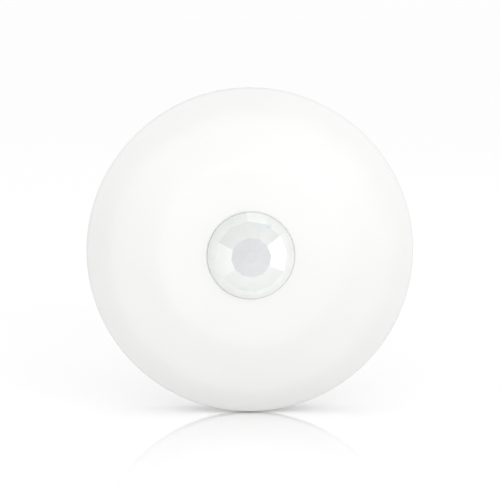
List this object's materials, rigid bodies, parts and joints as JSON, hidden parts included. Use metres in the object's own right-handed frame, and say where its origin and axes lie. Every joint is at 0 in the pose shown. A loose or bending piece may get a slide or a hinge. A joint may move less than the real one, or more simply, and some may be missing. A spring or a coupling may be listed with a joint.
{
  "type": "motion sensor",
  "caption": "Round wall-mounted passive infrared motion sensor with a faceted dome lens, a bayonet mounting plate and a rear battery door.",
  "frame": {"origin": "centre of the mounting plate's rear face, where the sensor meets the wall", "axes": "+Z up, the lens faces -Y and the wall is at +Y; on a ceiling the whole part turns so that +Y points up"},
  "size_m": [0.098, 0.0312, 0.098],
  "materials": {
    "white_plastic": "fine satin moulding",
    "lens_plastic": "glossy, slightly translucent polyethylene",
    "grey_plastic": "plain moulding",
    "dark_plastic": "plain moulding",
    "board_green": "glossy solder mask",
    "plated_steel": "bright plating",
    "antenna_copper": "bare copper wire",
    "pad_foam": "foam tape",
    "battery_wrap": "printed shrink wrap",
    "lamp_resin": "clear tinted resin",
    "filter_window": "polished dark filter"
  },
  "bodies": {
    "mounting_plate": {"mounting_plate": "white_plastic", "adhesive_pad_left": "pad_foam", "adhesive_pad_right": "pad_foam"},
    "housing": {"rear_housing": "white_plastic", "front_cover": "white_plastic", "fresnel_lens": "lens_plastic", "lens_retainer": "grey_plastic", "case_screw_1": "plated_steel", "case_screw_2": "plated_steel", "case_screw_3": "plated_steel", "board_screw_1": "plated_steel", "board_screw_2": "plated_steel", "board_screw_3": "plated_steel", "retainer_screw_1": "plated_steel", "retainer_screw_2": "plated_steel", "retainer_screw_3": "plated_steel", "circuit_board": "board_green", "sensor_collar": "dark_plastic", "sensor_header": "plated_steel", "sensor_can": "plated_steel", "sensor_window": "filter_window", "indicator_lamp": "lamp_resin", "light_sensor": "filter_window", "microcontroller": "dark_plastic", "amplifier_chip": "dark_plastic", "radio_shield": "plated_steel", "storage_capacitor": "plated_steel", "helical_antenna": "antenna_copper", "battery_cell": "battery_wrap", "battery_contact_positive": "plated_steel", "battery_contact_negative": "plated_steel", "battery_spring": "plated_steel", "button_switch": "dark_plastic", "mode_switch": "dark_plastic", "tamper_spring": "plated_steel", "tamper_switch": "dark_plastic"},
    "battery_door": {"battery_door": "white_plastic"},
    "learn_button": {"learn_button": "grey_plastic"},
    "mode_lever": {"mode_lever": "grey_plastic"},
    "tamper_plunger": {"tamper_plunger": "grey_plastic"}
  },
  "joints": [
    {"name": "housing_twist", "type": "hinge", "parent": "mounting_plate", "child": "housing", "pos_m": [0, 0, 0], "axis": [0, -1, 0], "range_deg": [0, 15]},
    {"name": "battery_door_hinge", "type": "hinge", "parent": "housing", "child": "battery_door", "pos_m": [0, -0.00365, -0.0144], "axis": [1, 0, 0], "range_deg": [0, 95]},
    {"name": "learn_button_press", "type": "slide", "parent": "housing", "child": "learn_button", "axis": [0, -1, 0], "range_m": [0, 0.0005], "stiffness_N_per_m": 800, "springref_m": -0.001},
    {"name": "mode_lever_slide", "type": "slide", "parent": "housing", "child": "mode_lever", "axis": [1, 0, 0], "range_m": [0, 0.002]},
    {"name": "tamper_plunger_slide", "type": "slide", "parent": "housing", "child": "tamper_plunger", "axis": [0, 1, 0], "range_m": [0, 0.0016], "deforming": ["tamper_spring"]}
  ],
  "couplings": [
    {"joint": "tamper_plunger_slide", "follows": "housing_twist", "m_per_rad": 0.0057296}
  ]
}
